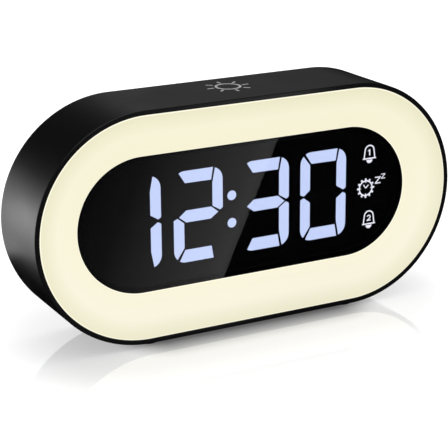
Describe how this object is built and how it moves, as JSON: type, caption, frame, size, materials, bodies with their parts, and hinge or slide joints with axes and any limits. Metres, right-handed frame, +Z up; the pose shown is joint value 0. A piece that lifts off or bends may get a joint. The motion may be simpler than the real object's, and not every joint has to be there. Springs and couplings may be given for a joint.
{
  "type": "clock radio",
  "caption": "Bedside clock radio with a racetrack body, a glowing dished light ring, a smoked LED display and rear keys.",
  "frame": {"origin": "middle of the footprint, on the surface that the feet stand on", "axes": "+X along the width, to the right as seen from the front; +Y from the front to the back; +Z up"},
  "size_m": [0.155, 0.0306, 0.0792],
  "materials": {
    "housing_abs": "satin moulded black ABS, fine spark-eroded texture",
    "ring_diffuser": "milky opal diffuser lit warm white from behind",
    "smoked_acrylic": "glossy smoked acrylic",
    "white_abs": "white reflector ABS",
    "white_board": "white solder mask",
    "led_package": "LED package with yellow phosphor",
    "shield_abs": "matt black light shield",
    "display_black": "matt black face of the LED module",
    "segment_lit": "milky epoxy bar, lit cool white",
    "segment_off": "milky epoxy bar behind a grey face, off",
    "icon_lit": "milky epoxy mark, lit white",
    "green_board": "green solder mask",
    "cable_grey": "grey flat cable",
    "chip_epoxy": "black moulded epoxy",
    "tin_can": "tinned can",
    "sleeve_black": "dark shrink sleeve",
    "connector_nylon": "cream nylon",
    "key_abs": "satin black ABS",
    "cover_abs": "satin moulded black ABS",
    "speaker_steel": "black pressed steel",
    "ferrite": "matt ferrite",
    "zinc_steel": "zinc plated steel",
    "paper_cone": "dark felted paper",
    "black_rubber": "soft black rubber",
    "copper_wire": "enamelled copper",
    "wire_pvc": "red PVC lead",
    "cell_steel": "nickel plated cell can",
    "spring_brass": "gold flashed spring bronze",
    "black_screw": "black oxide screw"
  },
  "bodies": {
    "root": {"housing": "housing_abs", "light_ring": "ring_diffuser", "display_window": "smoked_acrylic", "reflector_tray": "white_abs", "light_board": "white_board", "ring_leds": "led_package", "display_frame": "shield_abs", "display_body": "display_black", "lit_segments": "segment_lit", "unlit_segments": "segment_off", "status_icons": "icon_lit", "display_board": "green_board", "ribbon_cable": "cable_grey", "main_board": "green_board", "controller_chip": "chip_epoxy", "tuner_chip": "chip_epoxy", "amplifier_chip": "chip_epoxy", "clock_crystal": "tin_can", "power_capacitors": "sleeve_black", "board_connectors": "connector_nylon", "key_board": "green_board", "switch_bodies": "chip_epoxy", "rear_cover": "cover_abs", "speaker_frame": "speaker_steel", "speaker_magnet": "ferrite", "speaker_yoke": "zinc_steel", "speaker_surround": "black_rubber", "speaker_wires": "wire_pvc", "power_inlet": "zinc_steel", "battery_holder": "shield_abs", "coin_cell": "cell_steel", "battery_contact": "spring_brass", "touch_electrode": "copper_wire", "touch_spring": "spring_brass", "cover_screws": "black_screw", "tray_screws": "zinc_steel", "display_screws": "zinc_steel", "board_screws": "zinc_steel", "key_board_screws": "zinc_steel", "speaker_screws": "zinc_steel", "foot_front_left": "black_rubber", "foot_front_right": "black_rubber", "foot_rear_left": "black_rubber", "foot_rear_right": "black_rubber"},
    "key_time": {"key_time": "key_abs", "plunger_time": "key_abs"},
    "key_alarm_1": {"key_alarm_1": "key_abs", "plunger_alarm_1": "key_abs"},
    "key_alarm_2": {"key_alarm_2": "key_abs", "plunger_alarm_2": "key_abs"},
    "key_sound": {"key_sound": "key_abs", "plunger_sound": "key_abs"},
    "key_minus": {"key_minus": "key_abs", "plunger_minus": "key_abs"},
    "key_plus": {"key_plus": "key_abs", "plunger_plus": "key_abs"},
    "battery_cover": {"battery_cover": "cover_abs"},
    "speaker_cone": {"speaker_cone": "paper_cone", "voice_coil": "copper_wire"}
  },
  "joints": [
    {"name": "key_time_press", "type": "slide", "parent": "root", "child": "key_time", "axis": [0, -1, 0], "range_m": [0, 0.00035], "stiffness_N_per_m": 300},
    {"name": "key_alarm_1_press", "type": "slide", "parent": "root", "child": "key_alarm_1", "axis": [0, -1, 0], "range_m": [0, 0.00035], "stiffness_N_per_m": 300},
    {"name": "key_alarm_2_press", "type": "slide", "parent": "root", "child": "key_alarm_2", "axis": [0, -1, 0], "range_m": [0, 0.00035], "stiffness_N_per_m": 300},
    {"name": "key_sound_press", "type": "slide", "parent": "root", "child": "key_sound", "axis": [0, -1, 0], "range_m": [0, 0.00035], "stiffness_N_per_m": 300},
    {"name": "key_minus_press", "type": "slide", "parent": "root", "child": "key_minus", "axis": [0, -1, 0], "range_m": [0, 0.00035], "stiffness_N_per_m": 300},
    {"name": "key_plus_press", "type": "slide", "parent": "root", "child": "key_plus", "axis": [0, -1, 0], "range_m": [0, 0.00035], "stiffness_N_per_m": 300},
    {"name": "battery_cover_turn", "type": "hinge", "parent": "root", "child": "battery_cover", "pos_m": [-0.038, 0.01275, 0.0342], "axis": [0, 1, 0], "range_deg": [0, 40]},
    {"name": "speaker_cone_move", "type": "slide", "parent": "root", "child": "speaker_cone", "axis": [0, 1, 0], "range_m": [-0.0004, 0.0004], "stiffness_N_per_m": 600}
  ]
}
